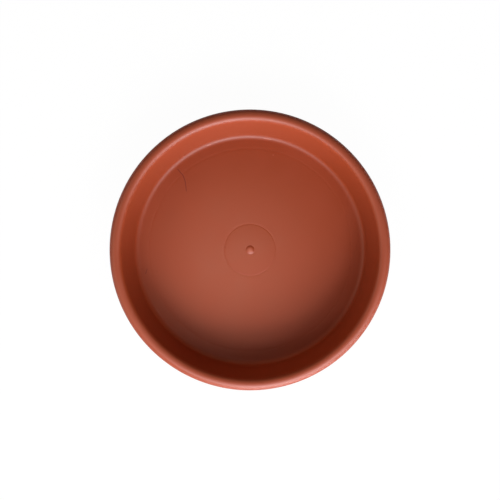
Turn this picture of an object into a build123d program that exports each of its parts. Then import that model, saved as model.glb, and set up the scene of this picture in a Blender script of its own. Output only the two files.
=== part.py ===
from build123d import *
from math import cos, radians, sin, sqrt, tan
import os

# Plant saucer, moulded in one piece from terracotta-coloured plastic
# Millimetres and degrees, +Z up, origin on the axis at the level that the foot ring stands on

# Whole saucer; the rim is measured across the lip, before the lip's edges are broken
RIM_DIAMETER = 203.2
HEIGHT = 32.0
THICKNESS = 1.8

# Wall, by its slope from the level and the round corner where it meets the floor
WALL_SLOPE = 76.0
FLOOR_CORNER_RADIUS = 4.3

# Rolled rim: a crown that turns tighter on its dish side, then a skirt that flares to its lip
CROWN_INNER_RADIUS = 3.9
CROWN_OUTER_RADIUS = 5.2
SKIRT_LENGTH = 4.0
SKIRT_DRAFT = 2.0
LIP_CHAMFER = 0.5

# How many flats make up each bend on the hidden side: floor corner, inner crown, outer crown
HIDDEN_FLAT_COUNTS = (3, 2, 3)

# Foot ring under the floor, placed by its distance from the foot of the wall
FOOT_INSET = 10.6
FOOT_WIDTH = 2.4
FOOT_HEIGHT = 1.0
FOOT_DRAFT = 20.0

# Middle of the floor: a domed pad above, the gate's shallow conical recess below
PAD_DIAMETER = 38.4
PAD_RISE = 0.6
NUB_DIAMETER = 6.6
NUB_RISE = 1.0
GATE_DIAMETER = 3.0
GATE_LENGTH = 0.5

# How far a raised feature's root, or a cut, is carried past the face that it starts from
OVERRUN = 0.8

# Levels and radii that follow from the sizes above
floor_under = FOOT_HEIGHT
floor_top = floor_under + THICKNESS
skirt_run = Vector(sin(radians(SKIRT_DRAFT)), -cos(radians(SKIRT_DRAFT))) * SKIRT_LENGTH
crest_radius = RIM_DIAMETER / 2 - CROWN_OUTER_RADIUS * cos(radians(SKIRT_DRAFT)) - skirt_run.X
inner_centre = Vector(crest_radius, HEIGHT - CROWN_INNER_RADIUS)
outer_centre = Vector(crest_radius, HEIGHT - CROWN_OUTER_RADIUS)
corner_level = floor_top + FLOOR_CORNER_RADIUS
wall_lean = (inner_centre.Y - corner_level) / tan(radians(WALL_SLOPE))
corner_offset = (CROWN_INNER_RADIUS + FLOOR_CORNER_RADIUS) / sin(radians(WALL_SLOPE))
corner_centre = Vector(crest_radius - wall_lean - corner_offset, corner_level)
foot_radius = corner_centre.X + FLOOR_CORNER_RADIUS - FOOT_INSET


def bend(centre, radius, start, sweep, flats):
    """One round bend, or as many equal flats between points on it."""
    arc = CenterArc(centre, radius, start, sweep)
    if not flats:
        return [arc]
    points = [arc @ (step / flats) for step in range(flats + 1)]
    return [Line(near, far) for near, far in zip(points, points[1:])]


def face_line(depth, flats=(0, 0, 0)):
    """Line of the face that lies depth under the show face, from the axis to the lip."""
    corner_flats, inner_flats, outer_flats = flats
    floor_level = floor_top - depth
    floor = Line((0, floor_level), (corner_centre.X, floor_level))
    corner = bend(corner_centre, FLOOR_CORNER_RADIUS + depth, -90, WALL_SLOPE, corner_flats)
    inner = bend(inner_centre, CROWN_INNER_RADIUS - depth, 90 + WALL_SLOPE, -WALL_SLOPE, inner_flats)
    outer = bend(outer_centre, CROWN_OUTER_RADIUS - depth, 90, SKIRT_DRAFT - 90, outer_flats)
    wall = Line(corner[-1] @ 1, inner[0] @ 0)
    skirt = Line(outer[-1] @ 1, (outer[-1] @ 1) + skirt_run)
    return [floor, *corner, wall, *inner, *outer, skirt]


def shell_section():
    """Floor, wall, crown and skirt as one even wall, with the lip's two edges broken."""
    show_face = face_line(0)
    back_face = face_line(THICKNESS, HIDDEN_FLAT_COUNTS)
    lip = Line(show_face[-1] @ 1, back_face[-1] @ 1)
    axis = Line(show_face[0] @ 0, back_face[0] @ 0)
    section = make_face([*show_face, lip, *back_face, axis])
    lip_edges = section.vertices().sort_by_distance(lip @ 0.5)[:2]
    return chamfer(lip_edges, length=min(LIP_CHAMFER, THICKNESS / 2.1))


def foot_section():
    """Foot ring, flat where it stands and wider at its root by the mould's draft."""
    flare = FOOT_HEIGHT * tan(radians(FOOT_DRAFT))
    inner = foot_radius - FOOT_WIDTH / 2
    outer = foot_radius + FOOT_WIDTH / 2
    outline = Polyline(
        (inner, 0),
        (outer, 0),
        (outer + flare, FOOT_HEIGHT),
        (inner - flare, FOOT_HEIGHT),
        close=True,
    )
    return make_face(outline)


def dome_section(diameter, rise, level):
    """Half the section of a shallow dome whose edge is at the level and whose root is lower."""
    crown = TangentArc((0, level + rise), (diameter / 2, level), tangent=(1, 0))
    root = Polyline(crown @ 1, (diameter / 2, level - OVERRUN), (0, level - OVERRUN), crown @ 0)
    return make_face([crown, root])


def pad_level(radius):
    """Level of the domed pad's face at a distance from the axis."""
    dome_radius = (PAD_DIAMETER**2 / 4 + PAD_RISE**2) / (2 * PAD_RISE)
    return floor_top + PAD_RISE - dome_radius + sqrt(dome_radius**2 - radius**2)


def recess_section():
    """Half the section of the recess that keeps the floor's thickness under the pad."""
    outline = Polyline(
        (0, floor_under + PAD_RISE),
        (PAD_DIAMETER / 2, floor_under),
        (PAD_DIAMETER / 2, floor_under - OVERRUN),
        (0, floor_under - OVERRUN),
        close=True,
    )
    return make_face(outline)


def gate_section():
    """Half the section of the gate's short stub, which hangs in its recess."""
    recess_top = floor_under + PAD_RISE
    stub = Rectangle(GATE_DIAMETER / 2, GATE_LENGTH + OVERRUN, align=(Align.MIN, Align.MIN))
    return Pos(0, recess_top - GATE_LENGTH) * stub


def saucer_section():
    """Half the section of the whole saucer: radius along X, height along Y."""
    section = shell_section() + foot_section()
    section += dome_section(PAD_DIAMETER, PAD_RISE, floor_top)
    section -= recess_section()
    section += dome_section(NUB_DIAMETER, NUB_RISE, pad_level(NUB_DIAMETER / 2))
    section += gate_section()
    return section


saucer = revolve(Plane.XZ * saucer_section(), Axis.Z, 360)

os.makedirs("parts", exist_ok=True)
export_step(saucer, "parts/saucer.step")
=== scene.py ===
"""Looks of a one-piece plastic plant saucer, built round its packed construction model.

Metres, +Z up, the origin on the saucer's axis at the level that its foot ring stands on.
"""
import logging
from dataclasses import dataclass
from enum import Enum
from math import atan2, cos, pi, radians, sin, sqrt, tan

import bpy
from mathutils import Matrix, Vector


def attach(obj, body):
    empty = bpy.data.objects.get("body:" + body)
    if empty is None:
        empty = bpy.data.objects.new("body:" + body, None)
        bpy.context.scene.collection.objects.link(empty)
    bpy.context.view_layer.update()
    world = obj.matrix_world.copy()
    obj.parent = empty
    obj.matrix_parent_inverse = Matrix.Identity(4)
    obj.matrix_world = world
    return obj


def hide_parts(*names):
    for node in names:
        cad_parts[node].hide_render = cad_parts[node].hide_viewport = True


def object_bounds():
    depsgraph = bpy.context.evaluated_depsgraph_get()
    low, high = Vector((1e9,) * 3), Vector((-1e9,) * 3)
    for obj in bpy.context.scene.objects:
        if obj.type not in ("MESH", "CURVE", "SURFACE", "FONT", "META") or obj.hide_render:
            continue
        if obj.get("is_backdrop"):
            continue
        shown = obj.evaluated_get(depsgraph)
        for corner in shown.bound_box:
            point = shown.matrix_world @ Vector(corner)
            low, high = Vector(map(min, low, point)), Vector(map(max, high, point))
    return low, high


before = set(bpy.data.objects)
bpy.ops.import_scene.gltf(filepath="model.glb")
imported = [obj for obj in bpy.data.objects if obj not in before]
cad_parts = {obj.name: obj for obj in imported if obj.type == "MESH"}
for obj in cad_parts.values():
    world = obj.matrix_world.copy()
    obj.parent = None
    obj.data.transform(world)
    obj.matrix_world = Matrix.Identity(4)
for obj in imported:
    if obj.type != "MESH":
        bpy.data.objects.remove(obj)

log = logging.getLogger("plant_saucer")

MM = 0.001
CAD_NODE = "saucer"
BODY = "root"
NUB_TOP = (0.0, 0.0, 4.4 * MM)
FLOOR_LEVEL = 2.8 * MM
CORNER_LEVEL = 3.2 * MM

Colour = tuple[float, float, float, float]
Tint = tuple[float, float, float]
Point = tuple[float, float, float]


class Stretch(Enum):
    """How finely a stretch of the section is divided, as the length of one step in metres."""

    FLAT = 4.0 * MM
    WALL = 3.0 * MM
    ROUND = 0.45 * MM
    FINE = 0.2 * MM


class Side(Enum):
    """The two sides of the moulding, which the two halves of the mould form."""

    SHOW = 0
    BACK = 1


class Effect(Enum):
    """Effects that the finishes share, each built once as a shader node group."""

    FLOW = "flow_mottle"
    GRAIN = "spark_grain"
    RINGS = "turned_rings"
    HAIRLINE = "hairline"
    SPECK = "speck"
    RUB = "crest_rub"


def deselect_all() -> None:
    """Leaves nothing selected, so that an operator acts only on what comes next."""
    if bpy.context.mode != "OBJECT":
        bpy.ops.object.mode_set(mode="OBJECT")
    bpy.ops.object.select_all(action="DESELECT")


class SectionPen:
    """Draws half of a turned piece's section in edit mode, edge by edge, and turns it about Z."""

    TIP = 0.1 * MM
    WELD = 0.002 * MM
    GUARD = 0.25 * MM
    SHORT = 1.5 * MM

    def __init__(self, name: str, radius: float, level: float) -> None:
        """Puts the pen down as one vertex.

        Args:
            name: the name of the piece that the section will become.
            radius: the first point's distance from the axis.
            level: the first point's height.
        """
        deselect_all()
        bpy.ops.mesh.primitive_plane_add(size=self.TIP, location=(radius, 0, level))
        self.piece = bpy.context.active_object
        self.piece.name = self.piece.data.name = name
        bpy.ops.object.transform_apply(location=True, rotation=True, scale=True)
        bpy.ops.object.mode_set(mode="EDIT")
        bpy.ops.mesh.select_mode(type="VERT")
        bpy.ops.mesh.select_all(action="SELECT")
        bpy.ops.mesh.merge(type="CENTER")
        self.at = Vector((radius, level))

    def steps(self, length: float, stretch: Stretch) -> list[float]:
        """Divides a length, with a short guard step at each end of a long one.

        Args:
            length: the length to divide.
            stretch: how finely it is divided.

        Returns:
            The steps' lengths in order.
        """
        if length < self.SHORT:
            count = max(1, round(length / stretch.value))
            return [length / count] * count
        middle = length - 2 * self.GUARD
        count = max(1, round(middle / stretch.value))
        return [self.GUARD, *[middle / count] * count, self.GUARD]

    def line(self, point: Vector, stretch: Stretch) -> None:
        """Extrudes a straight stretch to a point.

        Args:
            point: the end's radius and level.
            stretch: how finely the stretch is divided.
        """
        run = point - self.at
        along = run.normalized()
        for step in self.steps(run.length, stretch):
            bpy.ops.mesh.extrude_region_move(
                TRANSFORM_OT_translate={"value": (along.x * step, 0, along.y * step)}
            )
        self.at = point.copy()

    def arc(self, centre: Vector, sweep: float, stretch: Stretch) -> None:
        """Spins a round stretch from where the pen is.

        Args:
            centre: radius and level of the arc's centre.
            sweep: the angle turned in radians, positive from +X towards +Z.
            stretch: how finely the stretch is divided.
        """
        spoke = self.at - centre
        sign = 1 if sweep > 0 else -1
        for step in self.steps(spoke.length * abs(sweep), stretch):
            bpy.ops.mesh.spin(
                steps=1,
                angle=sign * step / spoke.length,
                center=(centre.x, 0, centre.y),
                axis=(0, 1, 0),
            )
        turn = atan2(spoke.y, spoke.x) + sweep
        self.at = centre + Vector((cos(turn), sin(turn))) * spoke.length

    def corner(self, point: Vector, beyond: Vector, rounding: float, stretch: Stretch) -> None:
        """Draws a straight stretch to a corner and rounds the corner off.

        Args:
            point: radius and level of the corner.
            beyond: a point that the stretch after the corner heads for.
            rounding: the corner's radius.
            stretch: how finely the straight stretch is divided.
        """
        into = (point - self.at).normalized()
        onward = (beyond - point).normalized()
        turn = atan2(into.x * onward.y - into.y * onward.x, into.dot(onward))
        start = point - into * rounding * tan(abs(turn) / 2)
        self.line(start, stretch)
        side = Vector((-into.y, into.x)) * (1 if turn > 0 else -1)
        self.arc(start + side * rounding, turn, Stretch.FINE)

    def turn(self, segments: int, smooth_under: float) -> bpy.types.Object:
        """Spins the section about Z into a closed piece with outward faces.

        Args:
            segments: steps round the axis.
            smooth_under: faces that meet at less than this angle shade as one, in radians.

        Returns:
            The finished piece, with its place in its mesh.
        """
        bpy.ops.mesh.select_all(action="SELECT")
        bpy.ops.mesh.spin(steps=segments, angle=2 * pi, center=(0, 0, 0), axis=(0, 0, 1))
        bpy.ops.mesh.select_all(action="SELECT")
        bpy.ops.mesh.remove_doubles(threshold=self.WELD)
        bpy.ops.mesh.normals_make_consistent(inside=False)
        bpy.ops.object.mode_set(mode="OBJECT")
        bpy.ops.object.shade_smooth_by_angle(angle=smooth_under)
        return self.piece


class NodeBench:
    """Places and joins the nodes of one tree."""

    STEP = 190

    def __init__(self, tree: bpy.types.NodeTree) -> None:
        """Takes the tree that the nodes are for."""
        self.tree = tree

    def put(self, kind: str, label: str, **settings: object) -> bpy.types.Node:
        """Adds a labelled node to the right of the last one.

        Args:
            kind: the type of the node.
            label: what the node is for.
            settings: properties of the node.

        Returns:
            The new node.
        """
        node = self.tree.nodes.new(kind)
        node.label = label
        node.location = (self.STEP * (len(self.tree.nodes) - 1), 0)
        for key, value in settings.items():
            setattr(node, key, value)
        return node

    def feed(self, socket: bpy.types.NodeSocket, source: object) -> None:
        """Gives a socket a link, or a constant of its own."""
        if isinstance(source, bpy.types.NodeSocket):
            self.tree.links.new(source, socket)
        else:
            socket.default_value = source

    def maths(self, operation: str, *sources: object, clamp: bool = False) -> bpy.types.NodeSocket:
        """Adds a Math node.

        Args:
            operation: what it does.
            sources: sockets or numbers, in the order of its inputs.
            clamp: whether the result is kept between 0 and 1.

        Returns:
            The socket with the result.
        """
        node = self.put("ShaderNodeMath", operation.lower(), operation=operation, use_clamp=clamp)
        for socket, source in zip(node.inputs, sources):
            self.feed(socket, source)
        return node.outputs[0]

    def vector(self, operation: str, *sources: object) -> bpy.types.NodeSocket:
        """Adds a Vector Math node.

        Args:
            operation: what it does.
            sources: sockets or vectors, in the order of its inputs.

        Returns:
            The socket with the result: a number for a length or a dot product.
        """
        node = self.put("ShaderNodeVectorMath", operation.lower(), operation=operation)
        for socket, source in zip(node.inputs, sources):
            self.feed(socket, source)
        return node.outputs["Value" if operation in ("LENGTH", "DOT_PRODUCT") else "Vector"]

    def centred(self, value: bpy.types.NodeSocket) -> bpy.types.NodeSocket:
        """Stretches a value between 0 and 1 to one between -1 and 1."""
        return self.maths("MULTIPLY_ADD", value, 2.0, -1.0)

    def noise(self, label: str, vector: object, scale: object, detail: float) -> bpy.types.NodeSocket:
        """Adds a noise texture whose value is 0.5 on average.

        Args:
            label: what the noise stands for.
            vector: the place to read it at.
            scale: how many of its lumps fit in a metre.
            detail: how many finer layers it has.

        Returns:
            The socket with its value.
        """
        node = self.put("ShaderNodeTexNoise", label)
        self.feed(node.inputs["Vector"], vector)
        self.feed(node.inputs["Scale"], scale)
        node.inputs["Detail"].default_value = detail
        return node.outputs["Fac"]

    def ramp(self, label: str, value: object, low: object, high: object) -> bpy.types.NodeSocket:
        """Adds a soft ramp from 0 to 1.

        Args:
            label: what the ramp marks.
            value: the value to read.
            low: where the ramp is 0.
            high: where it is 1, above or below low.

        Returns:
            The socket with the ramp's value.
        """
        node = self.put("ShaderNodeMapRange", label, interpolation_type="SMOOTHSTEP")
        self.feed(node.inputs["Value"], value)
        self.feed(node.inputs["From Min"], low)
        self.feed(node.inputs["From Max"], high)
        return node.outputs["Result"]

    def blend(self, label: str, factor: object, first: object, second: object) -> bpy.types.NodeSocket:
        """Adds a mix of two colours.

        Args:
            label: what the mix adds.
            factor: the second colour's share.
            first: a socket or a colour.
            second: a socket or a colour.

        Returns:
            The socket with the mixed colour.
        """
        node = self.put("ShaderNodeMix", label, data_type="RGBA")
        colours = [socket for socket in node.inputs if socket.type == "RGBA"]
        self.feed(node.inputs[0], factor)
        self.feed(colours[0], first)
        self.feed(colours[1], second)
        return next(socket for socket in node.outputs if socket.type == "RGBA")


class EffectShelf:
    """Builds each shared effect once, and places it in the finishes with their own values."""

    # Flow of the melt and mould grain: each weight and fineness is against the effect's first noise
    NOISE_MEAN = 0.5
    BROAD_WEIGHT = 2.6
    SMALL_BLOTCH_FINENESS = 4.5
    PIT_WEIGHT = 0.6
    PIT_FINENESS = 0.7
    GRAIN_HEIGHT = 0.7

    # Turned rings: patches in a metre, and the noise values between which the rings appear
    LEVEL_ONLY = (1.0, 1.0, 0.0)
    RING_PATCHES = 28.0
    RINGS_GONE = 0.4
    RINGS_WHOLE = 0.62

    # Paler rim top, partly abrasion and partly a painted highlight: patches in a metre, how strongly
    # they differ and how pale the least pale patch is
    RIM_PATCHES = 70.0
    RIM_PATCH_CONTRAST = 0.5
    RIM_PATCH_LEAST = 0.6

    def __init__(self) -> None:
        """Builds every group."""
        self.made: dict[Effect, bpy.types.NodeTree] = {}
        self.build_flow()
        self.build_grain()
        self.build_rings()
        self.build_hairline()
        self.build_speck()
        self.build_rim_abrasion_highlight()

    def open(
        self, effect: Effect, result: str, inputs: dict[str, float | None]
    ) -> tuple[NodeBench, dict[str, bpy.types.NodeSocket]]:
        """Starts a group with its named inputs and one named output.

        Args:
            effect: the effect that the group is for.
            result: the output's name.
            inputs: each input's name, with its first value or None for a place.

        Returns:
            The group's bench and the sockets to read the inputs from, by name.
        """
        tree = bpy.data.node_groups.new(effect.value, "ShaderNodeTree")
        for name, value in inputs.items():
            kind = "NodeSocketVector" if value is None else "NodeSocketFloat"
            socket = tree.interface.new_socket(name, in_out="INPUT", socket_type=kind)
            if value is not None:
                socket.default_value = value
        tree.interface.new_socket(result, in_out="OUTPUT", socket_type="NodeSocketFloat")
        self.made[effect] = tree
        bench = NodeBench(tree)
        entry = bench.put("NodeGroupInput", "inputs")
        return bench, {socket.name: socket for socket in entry.outputs if socket.name}

    def close(self, bench: NodeBench, value: bpy.types.NodeSocket) -> None:
        """Joins the group's result to its output."""
        bench.feed(bench.put("NodeGroupOutput", "result").inputs[0], value)

    def place(
        self, bench: NodeBench, effect: Effect, label: str, **values: object
    ) -> bpy.types.NodeSocket:
        """Places an effect in a material.

        Args:
            bench: the material's bench.
            effect: the effect to place.
            label: what it stands for there.
            values: the value or link of each input, by name.

        Returns:
            The socket with the effect's value.
        """
        node = bench.put("ShaderNodeGroup", label, node_tree=self.made[effect])
        for name, value in values.items():
            bench.feed(node.inputs[name], value)
        return node.outputs[0]

    def build_flow(self) -> None:
        """Soft blotches where the melt flowed and cooled unevenly, from -1 to 1."""
        bench, use = self.open(Effect.FLOW, "Tone", {"Place": None, "Scale": 40.0})
        broad = bench.noise("broad blotches", use["Place"], use["Scale"], detail=1.0)
        small_scale = bench.maths("MULTIPLY", use["Scale"], self.SMALL_BLOTCH_FINENESS)
        small = bench.noise("small blotches", use["Place"], small_scale, detail=2.0)
        mixed = bench.maths("MULTIPLY_ADD", broad, self.BROAD_WEIGHT, small)
        mean = self.NOISE_MEAN * (self.BROAD_WEIGHT + 1)
        self.close(bench, bench.maths("SUBTRACT", mixed, mean))

    def build_grain(self) -> None:
        """The mould's spark-eroded grain, a height from 0 to 1."""
        bench, use = self.open(Effect.GRAIN, "Height", {"Place": None, "Size": 0.4 * MM})
        scale = bench.maths("DIVIDE", 1.0, use["Size"])
        lumps = bench.noise("lumps", use["Place"], scale, detail=1.5)
        pits = bench.put("ShaderNodeTexVoronoi", "pits", feature="SMOOTH_F1")
        bench.feed(pits.inputs["Vector"], use["Place"])
        bench.feed(pits.inputs["Scale"], bench.maths("MULTIPLY", scale, self.PIT_FINENESS))
        height = bench.maths("MULTIPLY_ADD", pits.outputs["Distance"], self.PIT_WEIGHT, lumps)
        self.close(bench, bench.maths("MULTIPLY", height, self.GRAIN_HEIGHT))

    def build_rings(self) -> None:
        """Faint rings that the lathe left in the mould, from -1 to 1."""
        bench, use = self.open(Effect.RINGS, "Tone", {"Place": None, "Pitch": 1.6 * MM})
        level = bench.vector("MULTIPLY", use["Place"], self.LEVEL_ONLY)
        radius = bench.maths("DIVIDE", bench.vector("LENGTH", level), use["Pitch"])
        line = bench.put("ShaderNodeCombineXYZ", "along the radius")
        bench.feed(line.inputs["X"], radius)
        rings = bench.noise("rings", line.outputs["Vector"], scale=1.0, detail=1.0)
        patches = bench.noise("patches", use["Place"], self.RING_PATCHES, detail=1.0)
        left = bench.ramp("not worn away", patches, self.RINGS_GONE, self.RINGS_WHOLE)
        self.close(bench, bench.maths("MULTIPLY", bench.centred(rings), left))

    def build_hairline(self) -> None:
        """One straight scratch between two points, 1 along its middle."""
        inputs = {"Place": None, "Start": None, "End": None, "Width": 0.4 * MM}
        bench, use = self.open(Effect.HAIRLINE, "Mask", inputs)
        from_start = bench.vector("SUBTRACT", use["Place"], use["Start"])
        run = bench.vector("SUBTRACT", use["End"], use["Start"])
        along = bench.vector("DOT_PRODUCT", from_start, run)
        whole = bench.vector("DOT_PRODUCT", run, run)
        share = bench.maths("DIVIDE", along, whole, clamp=True)
        scaled = bench.put("ShaderNodeVectorMath", "nearest point", operation="SCALE")
        bench.feed(scaled.inputs[0], run)
        bench.feed(scaled.inputs["Scale"], share)
        away = bench.vector("LENGTH", bench.vector("SUBTRACT", from_start, scaled.outputs[0]))
        self.close(bench, bench.ramp("scratch", away, use["Width"], 0.0))

    def build_speck(self) -> None:
        """One round speck, 1 in its middle."""
        inputs = {"Place": None, "Middle": None, "Radius": 0.5 * MM}
        bench, use = self.open(Effect.SPECK, "Mask", inputs)
        away = bench.vector("LENGTH", bench.vector("SUBTRACT", use["Place"], use["Middle"]))
        self.close(bench, bench.ramp("speck", away, use["Radius"], 0.0))

    def build_rim_abrasion_highlight(self) -> None:
        """The paler top of the rim, partly abraded by hands and stacked saucers and partly a painted
        highlight, broken up, from 0 to 1.
        """
        inputs = {"Place": None, "Level": 30.0 * MM, "Top": 32.0 * MM}
        bench, use = self.open(Effect.RUB, "Mask", inputs)
        split = bench.put("ShaderNodeSeparateXYZ", "height")
        bench.feed(split.inputs[0], use["Place"])
        band = bench.ramp("top of the rim", split.outputs["Z"], use["Level"], use["Top"])
        patches = bench.noise("rim_patches", use["Place"], self.RIM_PATCHES, detail=3.0)
        patchiness = bench.maths(
            "MULTIPLY_ADD", patches, self.RIM_PATCH_CONTRAST, self.RIM_PATCH_LEAST, clamp=True
        )
        self.close(bench, bench.maths("MULTIPLY", band, patchiness))


@dataclass(frozen=True)
class Scratch:
    """A hairline scratch through points on the surface."""

    points: tuple[Point, ...]
    width: float


@dataclass(frozen=True)
class Speck:
    """A round speck: a dark one of dirt, a pale one painted as a glint of light on a small scrape."""

    middle: Point
    radius: float


@dataclass(frozen=True)
class Marks:
    """Scratches and specks of one colour, cut into the surface or level with it."""

    name: str
    colour: Colour
    height: float = 0.0
    dulling: float = 0.0
    cover: float = 0.85
    scratches: tuple[Scratch, ...] = ()
    specks: tuple[Speck, ...] = ()

    def mask(
        self, bench: NodeBench, shelf: EffectShelf, place: bpy.types.NodeSocket
    ) -> bpy.types.NodeSocket:
        """Gathers the scratches and specks into one mask.

        Args:
            bench: the material's bench.
            shelf: the shared effects.
            place: the socket with the place on the piece.

        Returns:
            The mask's socket, 1 in the middle of a mark.
        """
        masks = [
            shelf.place(
                bench, Effect.HAIRLINE, self.name,
                Place=place, Start=start, End=end, Width=scratch.width,
            )
            for scratch in self.scratches
            for start, end in zip(scratch.points, scratch.points[1:])
        ]
        masks += [
            shelf.place(
                bench, Effect.SPECK, self.name,
                Place=place, Middle=speck.middle, Radius=speck.radius,
            )
            for speck in self.specks
        ]
        mask = masks[0]
        for other in masks[1:]:
            mask = bench.maths("MAXIMUM", mask, other)
        return mask


@dataclass(frozen=True)
class SatinPlastic:
    """Terracotta-coloured polypropylene with the surface that one half of the mould gives it."""

    name: str
    pale: Colour
    deep: Colour
    # Paler colour for the top of the rim: partly abrasion, partly a painted highlight.
    rim_abrasion_and_highlight: Colour
    # Paler colour on the nub's top: a painted highlight.
    painted_nub_highlight: Colour
    roughness: float
    grain_size: float
    grain_depth: float
    ring_depth: float
    marks: tuple[Marks, ...] = ()
    flow_scale: float = 42.0
    flow_tone: float = 0.22
    flow_gloss: float = 0.05
    ring_pitch: float = 2.2 * MM
    ring_tone: float = 0.12
    middle_tone: float = 0.5
    # Band at the rim's top that takes the paler colour, partly abrasion and partly a painted
    # highlight.
    rim_abrasion_highlight_level: float = 30.8 * MM
    rim_abrasion_highlight_top: float = 31.9 * MM
    rim_abrasion_highlight_cover: float = 0.9
    # Reach of the painted highlight on the nub.
    painted_nub_highlight_radius: float = 3.4 * MM
    refraction: float = 1.49
    specular_level: float = 0.667

    def mix(self, shelf: EffectShelf) -> bpy.types.Material:
        """Makes the material.

        Args:
            shelf: the shared effects.

        Returns:
            The finished material.
        """
        material = bpy.data.materials.new(self.name)
        material.use_nodes = True
        material.node_tree.nodes.clear()
        bench = NodeBench(material.node_tree)
        place = bench.put("ShaderNodeTexCoord", "place").outputs["Object"]
        flow = shelf.place(bench, Effect.FLOW, "flow of the melt", Place=place, Scale=self.flow_scale)
        grain = shelf.place(bench, Effect.GRAIN, "mould grain", Place=place, Size=self.grain_size)
        rings = shelf.place(bench, Effect.RINGS, "turning marks", Place=place, Pitch=self.ring_pitch)
        # Paler top of the rim: partly abrasion, partly a painted highlight.
        rim_abrasion_highlight_mask = shelf.place(
            bench, Effect.RUB, "rim abrasion and painted highlight", Place=place, Level=self.rim_abrasion_highlight_level, Top=self.rim_abrasion_highlight_top
        )
        # Painted highlight: the nub's top made paler round its middle.
        nub = shelf.place(
            bench, Effect.SPECK, "nub", Place=place, Middle=NUB_TOP, Radius=self.painted_nub_highlight_radius
        )
        tone = bench.maths("MULTIPLY_ADD", flow, self.flow_tone, self.middle_tone)
        tone = bench.maths("MULTIPLY_ADD", rings, self.ring_tone, tone, clamp=True)
        colour = bench.blend("blotches", tone, self.deep, self.pale)
        # Blends in the rim's paler top, partly abrasion and partly a painted highlight.
        colour = bench.blend(
            "worn rim", bench.maths("MULTIPLY", rim_abrasion_highlight_mask, self.rim_abrasion_highlight_cover), colour, self.rim_abrasion_and_highlight
        )
        # Painted highlight on the nub.
        colour = bench.blend("painted highlight on the nub", nub, colour, self.painted_nub_highlight)
        height = bench.maths("MULTIPLY", grain, self.grain_depth)
        height = bench.maths("MULTIPLY_ADD", rings, self.ring_depth, height)
        gloss = bench.maths("MULTIPLY_ADD", flow, self.flow_gloss, self.roughness)
        for marks in self.marks:
            mask = marks.mask(bench, shelf, place)
            cover = bench.maths("MULTIPLY", mask, marks.cover)
            colour = bench.blend(marks.name, cover, colour, marks.colour)
            height = bench.maths("MULTIPLY_ADD", mask, marks.height, height)
            gloss = bench.maths("MULTIPLY_ADD", mask, marks.dulling, gloss)
        relief = bench.put("ShaderNodeBump", "relief")
        relief.inputs["Distance"].default_value = 1.0
        bench.feed(relief.inputs["Height"], height)
        shader = bench.put("ShaderNodeBsdfPrincipled", "polypropylene")
        shader.inputs["IOR"].default_value = self.refraction
        shader.inputs["Specular IOR Level"].default_value = self.specular_level
        bench.feed(shader.inputs["Base Color"], colour)
        bench.feed(shader.inputs["Roughness"], gloss)
        bench.feed(shader.inputs["Normal"], relief.outputs["Normal"])
        surface = bench.put("ShaderNodeOutputMaterial", "surface")
        bench.feed(surface.inputs["Surface"], shader.outputs["BSDF"])
        return material


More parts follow.
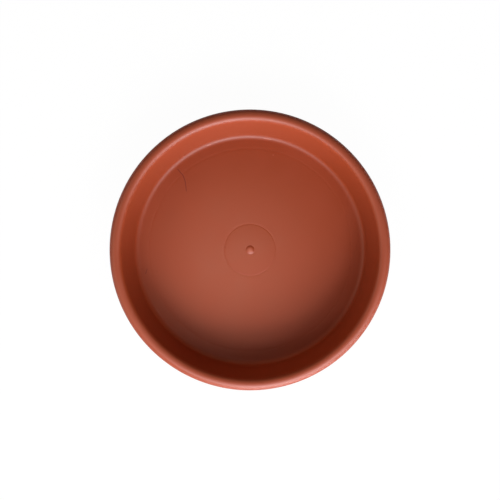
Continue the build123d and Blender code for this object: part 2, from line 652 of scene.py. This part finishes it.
@dataclass
class SaucerMoulding:
    """The saucer itself: floor, foot ring, wall, rolled rim, skirt, pad, nub and gate."""

    rim_radius: float
    height: float
    thickness: float = 1.8 * MM
    wall_slope: float = radians(76.0)
    corner_radius: float = 4.3 * MM
    crown_inner: float = 3.9 * MM
    crown_outer: float = 5.2 * MM
    skirt_length: float = 4.0 * MM
    skirt_draft: float = radians(2.0)
    lip_rounding: float = 0.5 * MM
    foot_inset: float = 10.6 * MM
    foot_width: float = 2.4 * MM
    foot_height: float = 1.0 * MM
    foot_draft: float = radians(20.0)
    foot_rounding: float = 0.25 * MM
    pad_radius: float = 19.2 * MM
    pad_rise: float = 0.6 * MM
    nub_radius: float = 3.3 * MM
    nub_rise: float = 1.0 * MM
    gate_radius: float = 1.5 * MM
    gate_length: float = 0.5 * MM
    sink_width: float = 2.8 * MM
    sink_depth: float = 0.05 * MM
    witness_step: float = 0.35 * MM
    witness_width: float = 1.7 * MM
    witness_depth: float = 0.085 * MM
    segments: int = 288
    smooth_under: float = radians(25.0)
    faces_up_over: float = 0.01
    name: str = "saucer_moulding"

    @property
    def floor_top(self) -> float:
        """Level of the floor that a pot stands on."""
        return self.foot_height + self.thickness

    @property
    def skirt_run(self) -> Vector:
        """The skirt's straight part, from the crown down to the lip."""
        return Vector((sin(self.skirt_draft), -cos(self.skirt_draft))) * self.skirt_length

    @property
    def crest_radius(self) -> float:
        """Distance from the axis at which the rim stands highest."""
        return self.rim_radius - self.crown_outer * cos(self.skirt_draft) - self.skirt_run.x

    @property
    def inner_centre(self) -> Vector:
        """Radius and level of the middle of the crown's arc towards the dish."""
        return Vector((self.crest_radius, self.height - self.crown_inner))

    @property
    def outer_centre(self) -> Vector:
        """Radius and level of the middle of the crown's arc towards the skirt."""
        return Vector((self.crest_radius, self.height - self.crown_outer))

    @property
    def corner_centre(self) -> Vector:
        """Radius and level of the middle of the round corner between floor and wall."""
        level = self.floor_top + self.corner_radius
        lean = (self.inner_centre.y - level) / tan(self.wall_slope)
        offset = (self.crown_inner + self.corner_radius) / sin(self.wall_slope)
        return Vector((self.crest_radius - lean - offset, level))

    @property
    def foot_ring_radius(self) -> float:
        """Distance of the foot ring's middle from the axis."""
        return self.corner_centre.x + self.corner_radius - self.foot_inset

    def dome_fall(self, radius: float) -> float:
        """How far the pad's dome has fallen from its top at a radius."""
        bend = (self.pad_radius**2 + self.pad_rise**2) / (2 * self.pad_rise)
        return bend - sqrt(bend**2 - radius**2)

    def dome(self, pen: SectionPen, outer: float, base: float, rise: float, stretch: Stretch) -> None:
        """Draws a stretch of a shallow dome's face, outward or inward.

        Args:
            pen: the pen, on the dome's face.
            outer: radius where the stretch ends.
            base: radius of the whole dome's foot.
            rise: height of the whole dome.
            stretch: how finely the face is divided.
        """
        bend = (base**2 + rise**2) / (2 * rise)
        fall = sqrt(bend**2 - pen.at.x**2)
        start = atan2(fall, pen.at.x)
        end = atan2(sqrt(bend**2 - outer**2), outer)
        pen.arc(Vector((0, pen.at.y - fall)), end - start, stretch)

    def draw_show_face(self, pen: SectionPen) -> None:
        """Draws nub, pad, floor, wall and crown from the axis out to the skirt's top."""
        floor = self.floor_top
        self.dome(pen, self.nub_radius, self.nub_radius, self.nub_rise, Stretch.FINE)
        edge = self.pad_radius - self.witness_step
        self.dome(pen, edge, self.pad_radius, self.pad_rise, Stretch.FLAT)
        pen.line(Vector((self.pad_radius, floor - self.witness_depth)), Stretch.FINE)
        pen.line(Vector((self.pad_radius + self.witness_width, floor)), Stretch.FINE)
        ring = self.foot_ring_radius
        pen.line(Vector((ring - self.sink_width / 2, floor)), Stretch.FLAT)
        pen.line(Vector((ring, floor - self.sink_depth)), Stretch.ROUND)
        pen.line(Vector((ring + self.sink_width / 2, floor)), Stretch.ROUND)
        pen.line(Vector((self.corner_centre.x, floor)), Stretch.FLAT)
        pen.arc(self.corner_centre, self.wall_slope, Stretch.ROUND)
        lean = pi / 2 + self.wall_slope
        pen.line(self.inner_centre + Vector((cos(lean), sin(lean))) * self.crown_inner, Stretch.WALL)
        pen.arc(self.inner_centre, -self.wall_slope, Stretch.ROUND)
        pen.arc(self.outer_centre, self.skirt_draft - pi / 2, Stretch.ROUND)

    def draw_lip(self, pen: SectionPen) -> None:
        """Draws the skirt's outer face, the rounded lip and the skirt's inner face."""
        along = self.skirt_run.normalized()
        outer_edge = pen.at + self.skirt_run
        inner_edge = outer_edge + Vector((along.y, -along.x)) * self.thickness
        top = inner_edge - self.skirt_run
        pen.corner(outer_edge, inner_edge, self.lip_rounding, Stretch.WALL)
        pen.corner(inner_edge, top, self.lip_rounding, Stretch.WALL)
        pen.line(top, Stretch.WALL)

    def draw_back_face(self, pen: SectionPen) -> None:
        """Draws the hollow of the rim, the wall's back, the foot ring and the gate, to the axis."""
        pen.arc(self.outer_centre, pi / 2 - self.skirt_draft, Stretch.ROUND)
        pen.arc(self.inner_centre, self.wall_slope, Stretch.ROUND)
        reach = self.corner_radius + self.thickness
        foot = self.corner_centre + Vector((sin(self.wall_slope), -cos(self.wall_slope))) * reach
        pen.line(foot, Stretch.WALL)
        pen.arc(self.corner_centre, -self.wall_slope, Stretch.ROUND)
        flare = self.foot_height * tan(self.foot_draft)
        outer = self.foot_ring_radius + self.foot_width / 2
        inner = self.foot_ring_radius - self.foot_width / 2
        root = Vector((outer + flare, self.foot_height))
        tread = Vector((outer, 0))
        heel = Vector((inner, 0))
        hollow = Vector((inner - flare, self.foot_height))
        pen.corner(root, tread, self.foot_rounding, Stretch.FLAT)
        pen.corner(tread, heel, self.foot_rounding, Stretch.FLAT)
        pen.corner(heel, hollow, self.foot_rounding, Stretch.FLAT)
        pen.corner(hollow, Vector((0, self.foot_height)), self.foot_rounding, Stretch.FLAT)
        pen.line(Vector((self.pad_radius, self.foot_height)), Stretch.FLAT)
        slant = self.pad_rise * (1 - self.gate_radius / self.pad_radius)
        pen.line(Vector((self.gate_radius, self.foot_height + slant)), Stretch.FLAT)
        stub = self.foot_height + self.pad_rise - self.gate_length
        pen.line(Vector((self.gate_radius, stub)), Stretch.FINE)
        pen.line(Vector((0, stub)), Stretch.ROUND)

    def build(self) -> bpy.types.Object:
        """Models the moulding as one closed turned piece that stands for the CAD node.

        Returns:
            The finished piece.
        """
        top = self.floor_top + self.pad_rise - self.dome_fall(self.nub_radius) + self.nub_rise
        pen = SectionPen(self.name, 0, top)
        self.draw_show_face(pen)
        self.draw_lip(pen)
        self.draw_back_face(pen)
        piece = pen.turn(self.segments, self.smooth_under)
        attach(piece, BODY)
        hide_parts(CAD_NODE)
        return piece

    def dress(self, piece: bpy.types.Object, finishes: dict[Side, bpy.types.Material]) -> None:
        """Gives each face the finish of the mould half that forms it.

        Args:
            piece: the built moulding.
            finishes: the material of each side.
        """
        piece.data.materials.clear()
        for side in Side:
            piece.data.materials.append(finishes[side])
        for face in piece.data.polygons:
            side = Side.SHOW if face.normal.z > self.faces_up_over else Side.BACK
            face.material_index = side.value


@dataclass(frozen=True)
class SoftLamp:
    """A softbox aimed at the saucer."""

    name: str
    compass: float
    rise: float
    width: float
    depth: float
    strength: float
    distance: float = 1.8
    spread: float = 180.0
    tint: Tint = (1.0, 1.0, 1.0)
    aim: Point = (0.0, 0.0, 0.01)

    def hang(self) -> bpy.types.Object:
        """Hangs the lamp.

        The strength is what the lamp adds to a white face that looks straight at it.

        Returns:
            The lamp's object.
        """
        light = bpy.data.lights.new(self.name, "AREA")
        light.shape = "RECTANGLE"
        light.size = self.width
        light.size_y = self.depth
        light.spread = radians(self.spread)
        light.color = self.tint
        light.energy = self.strength * (pi * self.distance) ** 2
        lamp = bpy.data.objects.new(self.name, light)
        turn = radians(self.compass)
        tilt = radians(self.rise)
        away = Vector((sin(turn) * cos(tilt), -cos(turn) * cos(tilt), sin(tilt)))
        lamp.location = Vector(self.aim) + away * self.distance
        lamp.rotation_mode = "QUATERNION"
        lamp.rotation_quaternion = away.to_track_quat("Z", "Y")
        lamp.visible_camera = False
        bpy.context.scene.collection.objects.link(lamp)
        return lamp


@dataclass(frozen=True)
class OverheadCamera:
    """The photograph's view, from straight above and a hair off the saucer's axis."""

    height: float = 0.6306
    lens: float = 60.15
    off_axis: float = -0.07 * MM
    nearest: float = 0.01

    def mount(self) -> bpy.types.Object:
        """Hangs the camera over the saucer's middle and makes it the scene's camera.

        Returns:
            The camera's object.
        """
        camera = bpy.data.objects.new("overhead", bpy.data.cameras.new("overhead"))
        camera.data.lens = self.lens
        camera.data.clip_start = self.nearest
        camera.location = (0, self.off_axis, self.height)
        bpy.context.scene.collection.objects.link(camera)
        bpy.context.scene.camera = camera
        return camera


@dataclass(frozen=True)
class PaleStudio:
    """A pale floor under a pale surrounding, both white to the camera."""

    floor_size: float = 8.0
    floor_gap: float = 0.02 * MM
    paper: Tint = (0.8, 0.8, 0.8)
    shadow_share: float = 0.035
    glow: float = 0.975
    dusk: float = 0.01

    def lay_floor(self) -> bpy.types.Object:
        """Lays the floor a hair under the level that the foot ring stands on.

        Returns:
            The floor, marked as not part of the object.
        """
        deselect_all()
        bpy.ops.mesh.primitive_plane_add(size=self.floor_size, location=(0, 0, -self.floor_gap))
        floor = bpy.context.active_object
        floor.name = floor.data.name = "studio_floor"
        bpy.ops.object.transform_apply(location=True, rotation=True, scale=True)
        floor.data.materials.append(self.paper_finish())
        floor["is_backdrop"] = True
        return floor

    def paper_finish(self) -> bpy.types.Material:
        """White paper that glows a little to the camera and still takes the shadow.

        Returns:
            The finished material.
        """
        material = bpy.data.materials.new("studio_paper")
        material.use_nodes = True
        material.node_tree.nodes.clear()
        bench = NodeBench(material.node_tree)
        path = bench.put("ShaderNodeLightPath", "who looks")
        paper = bench.put("ShaderNodeBsdfDiffuse", "paper")
        paper.inputs["Color"].default_value = (*self.paper, 1)
        shade = bench.put("ShaderNodeBsdfDiffuse", "shadow on white")
        shade.inputs["Color"].default_value = (*[self.shadow_share] * 3, 1)
        glow = bench.put("ShaderNodeEmission", "white")
        glow.inputs["Strength"].default_value = self.glow
        white = bench.put("ShaderNodeAddShader", "white with shadow")
        bench.feed(white.inputs[0], shade.outputs[0])
        bench.feed(white.inputs[1], glow.outputs[0])
        choice = bench.put("ShaderNodeMixShader", "white to the camera")
        bench.feed(choice.inputs[0], path.outputs["Is Camera Ray"])
        bench.feed(choice.inputs[1], paper.outputs[0])
        bench.feed(choice.inputs[2], white.outputs[0])
        surface = bench.put("ShaderNodeOutputMaterial", "surface")
        bench.feed(surface.inputs["Surface"], choice.outputs[0])
        return material

    def surround(self) -> bpy.types.World:
        """Puts a white surrounding round the camera's view and a dusky one round the rest.

        Returns:
            The world.
        """
        world = bpy.data.worlds.new("studio")
        world.use_nodes = True
        world.node_tree.nodes.clear()
        bench = NodeBench(world.node_tree)
        path = bench.put("ShaderNodeLightPath", "who looks")
        light = bench.maths("MULTIPLY_ADD", path.outputs["Is Camera Ray"], 1.0 - self.dusk, self.dusk)
        white = bench.put("ShaderNodeBackground", "surrounding")
        white.inputs["Color"].default_value = (1, 1, 1, 1)
        bench.feed(white.inputs["Strength"], light)
        bench.feed(bench.put("ShaderNodeOutputWorld", "world").inputs["Surface"], white.outputs[0])
        bpy.context.scene.world = world
        return world


SCRATCH_FROM_A_POT = Scratch(
    points=(
        (-0.0543, 0.0606, FLOOR_LEVEL),
        (-0.0503, 0.0560, FLOOR_LEVEL),
        (-0.0486, 0.0513, FLOOR_LEVEL),
        (-0.0478, 0.0442, FLOOR_LEVEL),
    ),
    width=0.5 * MM,
)
SCRATCH_BY_THE_CORNER = Scratch(
    points=((-0.0773, -0.0143, FLOOR_LEVEL), (-0.0785, -0.0179, FLOOR_LEVEL)), width=0.4 * MM
)
# Pale dashes along the round corner: small scrapes, painted pale as glints of light.
LONG_SCUFF_AND_GLINT = Scratch(
    points=((0.0105, 0.0837, CORNER_LEVEL), (0.0156, 0.0830, CORNER_LEVEL)), width=0.7 * MM
)
SHORT_SCUFF_AND_GLINT = Scratch(
    points=((-0.0297, 0.0791, CORNER_LEVEL), (-0.0318, 0.0783, CORNER_LEVEL)), width=0.6 * MM
)
DIRT = Marks(
    name="dirt",
    colour=(0.15, 0.012, 0.004, 1),
    height=-0.06 * MM,
    dulling=0.2,
    scratches=(SCRATCH_FROM_A_POT, SCRATCH_BY_THE_CORNER),
    specks=(
        Speck(middle=(-0.0188, 0.0021, FLOOR_LEVEL), radius=0.5 * MM),
        Speck(middle=(-0.0700, -0.0160, FLOOR_LEVEL), radius=0.4 * MM),
    ),
)
# Small scrapes, painted pale as glints of light.
SCUFFS_AND_GLINTS = Marks(
    name="scuff_and_painted_glint",
    colour=(0.56, 0.145, 0.08, 1),
    scratches=(LONG_SCUFF_AND_GLINT, SHORT_SCUFF_AND_GLINT),
    specks=(Speck(middle=(0.0174, 0.0713, FLOOR_LEVEL), radius=0.7 * MM),),
)

SHOW_FINISH = SatinPlastic(
    name="satin_terracotta_show",
    pale=(0.388, 0.060, 0.0162, 1),
    deep=(0.352, 0.054, 0.0134, 1),
    # Paler rim top: partly abrasion, partly a painted highlight.
    rim_abrasion_and_highlight=(0.44, 0.090, 0.041, 1),
    # Painted highlight on the nub.
    painted_nub_highlight=(0.52, 0.13, 0.07, 1),
    roughness=0.46,
    grain_size=0.4 * MM,
    grain_depth=0.004 * MM,
    ring_depth=0.002 * MM,
    marks=(DIRT, SCUFFS_AND_GLINTS),
)
BACK_FINISH = SatinPlastic(
    name="matt_terracotta_back",
    pale=(0.375, 0.060, 0.0175, 1),
    deep=(0.340, 0.052, 0.0145, 1),
    # Paler rim top: partly abrasion, partly a painted highlight.
    rim_abrasion_and_highlight=(0.40, 0.085, 0.042, 1),
    # Painted highlight on the nub.
    painted_nub_highlight=(0.42, 0.09, 0.045, 1),
    roughness=0.55,
    grain_size=0.6 * MM,
    grain_depth=0.010 * MM,
    ring_depth=0.003 * MM,
)

DAYLIGHT = (1.0, 1.0, 1.06)
ROOM_LIGHT = (1.06, 0.9, 0.74)
WOOD_LIGHT = (1.24, 0.76, 0.44)
LAMPS = (
    SoftLamp("window_middle", compass=10, rise=31, width=0.9, depth=0.62, strength=0.6, tint=DAYLIGHT),
    SoftLamp("window_left", compass=-20, rise=41, width=0.76, depth=0.7, strength=0.28, tint=DAYLIGHT),
    SoftLamp("window_right", compass=42, rise=36, width=0.9, depth=0.9, strength=0.37, tint=DAYLIGHT),
    SoftLamp("window_foot", compass=12, rise=6, width=1.5, depth=0.3, strength=0.34, tint=DAYLIGHT),
    SoftLamp("window_sill", compass=28, rise=1.5, width=2.4, depth=0.08, strength=0.32, tint=DAYLIGHT),
    SoftLamp("left_low", compass=-68, rise=8, width=1.2, depth=0.3, strength=0.08, tint=ROOM_LIGHT),
    SoftLamp("left_fill", compass=-90, rise=36, width=1.68, depth=0.5, strength=0.14, tint=ROOM_LIGHT),
    SoftLamp("back_fill", compass=180, rise=36, width=2.0, depth=0.5, strength=0.085, tint=WOOD_LIGHT),
    SoftLamp(
        "top_pool", compass=0, rise=90, distance=0.9, width=0.06, depth=0.06, strength=0.00063,
        spread=11, tint=ROOM_LIGHT, aim=(-0.014, -0.010, FLOOR_LEVEL),
    ),
)


def main() -> None:
    """Builds the saucer and the studio."""
    logging.basicConfig(level=logging.INFO, format="%(name)s: %(message)s")
    cad_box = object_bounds()
    bpy.context.scene.view_settings.view_transform = "Standard"
    shelf = EffectShelf()
    finishes = {Side.SHOW: SHOW_FINISH.mix(shelf), Side.BACK: BACK_FINISH.mix(shelf)}
    moulding = SaucerMoulding(rim_radius=cad_box[1].x, height=cad_box[1].z)
    piece = moulding.build()
    moulding.dress(piece, finishes)
    log.info("%s: %d faces", piece.name, len(piece.data.polygons))
    studio = PaleStudio()
    log.info("%s laid", studio.lay_floor().name)
    log.info("%s hung round it", studio.surround().name)
    for lamp in LAMPS:
        log.info("%s hung", lamp.hang().name)
    log.info("%s camera mounted", OverheadCamera().mount().name)


if __name__ == "__main__":
    main()
